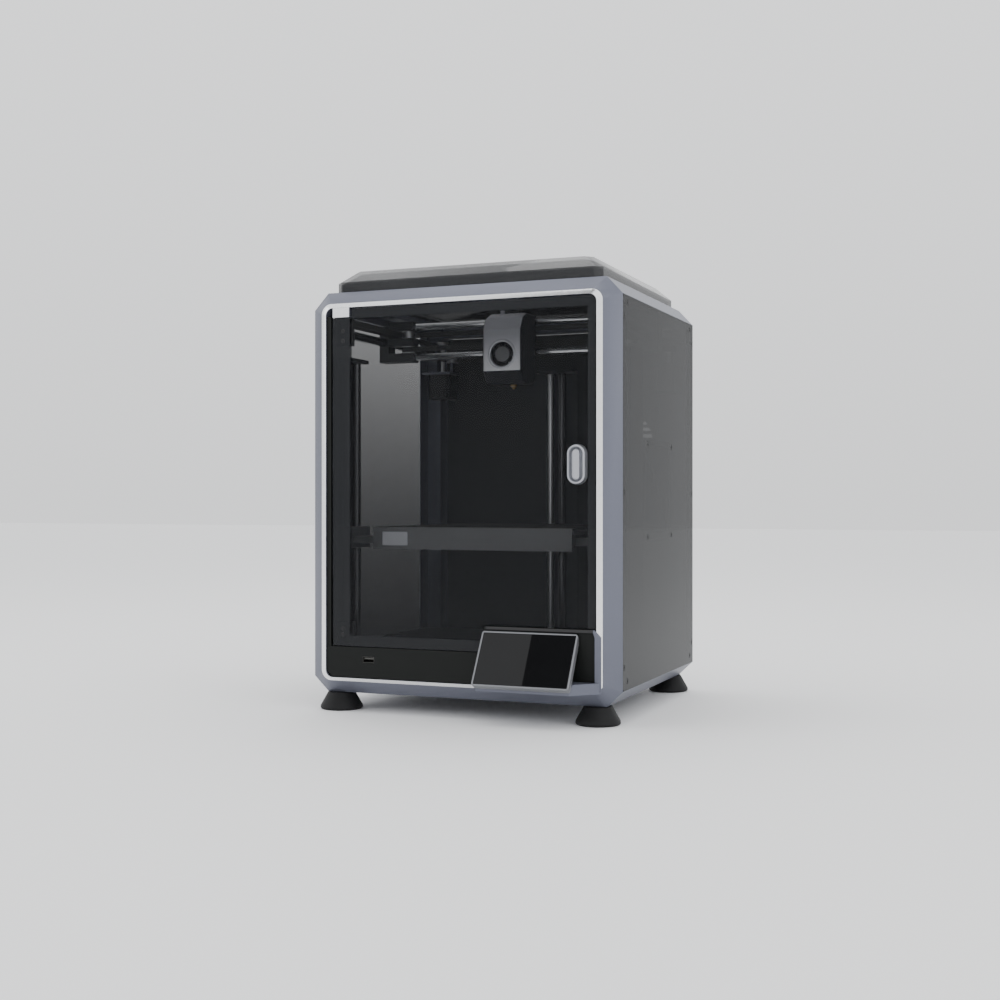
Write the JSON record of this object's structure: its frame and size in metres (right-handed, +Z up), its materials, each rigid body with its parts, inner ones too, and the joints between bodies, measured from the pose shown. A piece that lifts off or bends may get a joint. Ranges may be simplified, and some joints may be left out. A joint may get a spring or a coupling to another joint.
{
  "type": "fdm printer",
  "caption": "Enclosed filament printer: cast frame with smoked side panels, hinged glass door, lift-off lid, slanted touch screen, two-belt gantry and a bed raised by lead screws.",
  "frame": {"origin": "on the floor plane under the middle of the overall box", "axes": "+X to the machine's right seen from the front, +Y to its back, +Z up"},
  "size_m": [0.355, 0.355, 0.482],
  "materials": {
    "frame_paint": "satin metallic",
    "dark_paint": "satin",
    "panel_smoke": "gloss smoked sheet",
    "smoke_glass": "clear smoked",
    "black_plastic": "fine matt",
    "grey_plastic": "satin metallic paint",
    "screen_black": "gloss",
    "rubber": "matt",
    "rod_steel": "polished",
    "steel": "brushed",
    "motor_metal": "satin",
    "aluminium": "fine blasted",
    "cast_dark": "powder coated casting",
    "brass": "turned",
    "belt": "matt",
    "plate_coat": "textured coating",
    "board": "solder mask"
  },
  "bodies": {
    "housing": {"front_frame": "frame_paint", "rear_frame": "frame_paint", "top_frame": "frame_paint", "base_tray": "frame_paint", "chamber_floor": "dark_paint", "front_base_panel": "black_plastic", "usb_port": "steel", "side_panel_left": "panel_smoke", "side_panel_right": "panel_smoke", "rear_panel": "dark_paint", "panel_screws": "dark_paint", "rubber_feet": "rubber", "screen_bracket": "frame_paint", "screen_housing": "grey_plastic", "screen_glass": "screen_black", "guide_rods": "rod_steel", "xy_motors": "motor_metal", "frame_belts": "belt", "belt_y_spans": "belt", "z_columns": "dark_paint", "z_motor": "motor_metal", "electronics_boards": "board", "exhaust_fan_housing": "black_plastic", "aux_fan_housing": "black_plastic", "power_inlet": "black_plastic", "camera": "black_plastic"},
    "door": {"door_glass": "smoke_glass", "door_hinge_leaves": "black_plastic", "door_handle": "grey_plastic"},
    "lid": {"lid_shell": "smoke_glass"},
    "gantry": {"gantry_blocks": "cast_dark", "x_rods": "rod_steel", "belt_x_spans": "belt"},
    "toolhead": {"toolhead_carriage": "cast_dark", "toolhead_cover": "grey_plastic", "extruder_motor": "motor_metal", "hotend": "aluminium", "part_fan_duct": "black_plastic"},
    "bed": {"bed_carrier": "cast_dark", "bed_bushings": "brass", "heater_plate": "aluminium", "build_plate": "plate_coat"},
    "hotend_fan": {"hotend_fan_rotor": "black_plastic"},
    "release_lever": {"filament_lever": "black_plastic"},
    "exhaust_fan": {"exhaust_fan_rotor": "black_plastic"},
    "power_key": {"power_rocker": "black_plastic"},
    "motor_pulley_left_wheel": {"motor_pulley_left": "aluminium"},
    "motor_pulley_right_wheel": {"motor_pulley_right": "aluminium"},
    "front_idler_left_wheel": {"front_idler_left": "aluminium"},
    "front_idler_right_wheel": {"front_idler_right": "aluminium"},
    "rear_idler_left_wheel": {"rear_idler_left": "aluminium"},
    "rear_idler_right_wheel": {"rear_idler_right": "aluminium"},
    "gantry_idler_left_upper_wheel": {"gantry_idler_left_upper": "aluminium"},
    "gantry_idler_left_lower_wheel": {"gantry_idler_left_lower": "aluminium"},
    "gantry_idler_right_upper_wheel": {"gantry_idler_right_upper": "aluminium"},
    "gantry_idler_right_lower_wheel": {"gantry_idler_right_lower": "aluminium"},
    "z_motor_pulley_wheel": {"z_motor_pulley": "steel"},
    "z_screw_left_shaft": {"z_screw_left": "steel"},
    "z_screw_right_shaft": {"z_screw_right": "steel"},
    "z_screw_rear_shaft": {"z_screw_rear": "steel"}
  },
  "joints": [
    {"name": "door_hinge", "type": "hinge", "parent": "housing", "child": "door", "pos_m": [-0.1364, -0.1365, 0.25], "axis": [0, 0, -1], "range_deg": [0, 125]},
    {"name": "lid_lift", "type": "slide", "parent": "housing", "child": "lid", "axis": [0, 0, 1], "range_m": [0, 0.12]},
    {"name": "gantry_y", "type": "slide", "parent": "housing", "child": "gantry", "axis": [0, 1, 0], "range_m": [-0.11, 0.11], "deforming": ["belt_y_spans"]},
    {"name": "toolhead_x", "type": "slide", "parent": "gantry", "child": "toolhead", "axis": [1, 0, 0], "range_m": [-0.113, 0.107], "deforming": ["belt_x_spans"]},
    {"name": "bed_z", "type": "slide", "parent": "housing", "child": "bed", "axis": [0, 0, 1], "range_m": [-0.095, 0.155]},
    {"name": "hotend_fan_spin", "type": "hinge", "parent": "toolhead", "child": "hotend_fan", "pos_m": [0.003, -0.0165, 0.394], "axis": [0, 1, 0], "continuous": true},
    {"name": "release_lever_turn", "type": "hinge", "parent": "toolhead", "child": "release_lever", "pos_m": [-0.005, 0.006, 0.445], "axis": [0, -1, 0], "range_deg": [0, 80]},
    {"name": "exhaust_fan_spin", "type": "hinge", "parent": "housing", "child": "exhaust_fan", "pos_m": [0.088, 0.168, 0.3], "axis": [0, 1, 0], "continuous": true},
    {"name": "power_key_rock", "type": "hinge", "parent": "housing", "child": "power_key", "pos_m": [-0.078, 0.173, 0.0495], "axis": [1, 0, 0], "range_deg": [0, 16]},
    {"name": "motor_pulley_left_turn", "type": "hinge", "parent": "housing", "child": "motor_pulley_left_wheel", "pos_m": [-0.1495, 0.152, 0.427], "axis": [0, 0, 1], "continuous": true},
    {"name": "motor_pulley_right_turn", "type": "hinge", "parent": "housing", "child": "motor_pulley_right_wheel", "pos_m": [0.1495, 0.152, 0.409], "axis": [0, 0, 1], "continuous": true},
    {"name": "front_idler_left_turn", "type": "hinge", "parent": "housing", "child": "front_idler_left_wheel", "pos_m": [-0.1522, -0.1119, 0.427], "axis": [0, 0, 1], "continuous": true},
    {"name": "front_idler_right_turn", "type": "hinge", "parent": "housing", "child": "front_idler_right_wheel", "pos_m": [0.1522, -0.1119, 0.409], "axis": [0, 0, 1], "continuous": true},
    {"name": "rear_idler_left_turn", "type": "hinge", "parent": "housing", "child": "rear_idler_left_wheel", "pos_m": [-0.1384, 0.1555, 0.409], "axis": [0, 0, 1], "continuous": true},
    {"name": "rear_idler_right_turn", "type": "hinge", "parent": "housing", "child": "rear_idler_right_wheel", "pos_m": [0.1384, 0.1555, 0.427], "axis": [0, 0, 1], "continuous": true},
    {"name": "gantry_idler_left_upper_turn", "type": "hinge", "parent": "gantry", "child": "gantry_idler_left_upper_wheel", "pos_m": [-0.1384, 0.028, 0.427], "axis": [0, 0, 1], "continuous": true},
    {"name": "gantry_idler_left_lower_turn", "type": "hinge", "parent": "gantry", "child": "gantry_idler_left_lower_wheel", "pos_m": [-0.1384, 0.028, 0.409], "axis": [0, 0, 1], "continuous": true},
    {"name": "gantry_idler_right_upper_turn", "type": "hinge", "parent": "gantry", "child": "gantry_idler_right_upper_wheel", "pos_m": [0.1384, 0.028, 0.427], "axis": [0, 0, 1], "continuous": true},
    {"name": "gantry_idler_right_lower_turn", "type": "hinge", "parent": "gantry", "child": "gantry_idler_right_lower_wheel", "pos_m": [0.1384, 0.028, 0.409], "axis": [0, 0, 1], "continuous": true},
    {"name": "z_motor_pulley_turn", "type": "hinge", "parent": "housing", "child": "z_motor_pulley_wheel", "pos_m": [-0.03, -0.08, 0.05], "axis": [0, 0, 1], "continuous": true},
    {"name": "z_screw_left_turn", "type": "hinge", "parent": "housing", "child": "z_screw_left_shaft", "pos_m": [-0.163, -0.08, 0.05], "axis": [0, 0, 1], "continuous": true},
    {"name": "z_screw_right_turn", "type": "hinge", "parent": "housing", "child": "z_screw_right_shaft", "pos_m": [0.163, -0.08, 0.05], "axis": [0, 0, 1], "continuous": true},
    {"name": "z_screw_rear_turn", "type": "hinge", "parent": "housing", "child": "z_screw_rear_shaft", "pos_m": [0, 0.147, 0.05], "axis": [0, 0, 1], "continuous": true}
  ],
  "couplings": [
    {"joint": "motor_pulley_left_turn", "follows": "toolhead_x", "rad_per_m": 144.93},
    {"joint": "motor_pulley_right_turn", "follows": "toolhead_x", "rad_per_m": 144.93},
    {"joint": "front_idler_left_turn", "follows": "toolhead_x", "rad_per_m": 144.93},
    {"joint": "front_idler_right_turn", "follows": "toolhead_x", "rad_per_m": 144.93},
    {"joint": "rear_idler_left_turn", "follows": "toolhead_x", "rad_per_m": 144.93},
    {"joint": "rear_idler_right_turn", "follows": "toolhead_x", "rad_per_m": 144.93},
    {"joint": "gantry_idler_left_upper_turn", "follows": "toolhead_x", "rad_per_m": -144.93},
    {"joint": "gantry_idler_left_lower_turn", "follows": "toolhead_x", "rad_per_m": 144.93},
    {"joint": "gantry_idler_right_upper_turn", "follows": "toolhead_x", "rad_per_m": 144.93},
    {"joint": "gantry_idler_right_lower_turn", "follows": "toolhead_x", "rad_per_m": -144.93},
    {"joint": "z_motor_pulley_turn", "follows": "bed_z", "rad_per_m": -785.4},
    {"joint": "z_screw_left_turn", "follows": "bed_z", "rad_per_m": -785.4},
    {"joint": "z_screw_right_turn", "follows": "bed_z", "rad_per_m": -785.4},
    {"joint": "z_screw_rear_turn", "follows": "bed_z", "rad_per_m": -785.4}
  ]
}
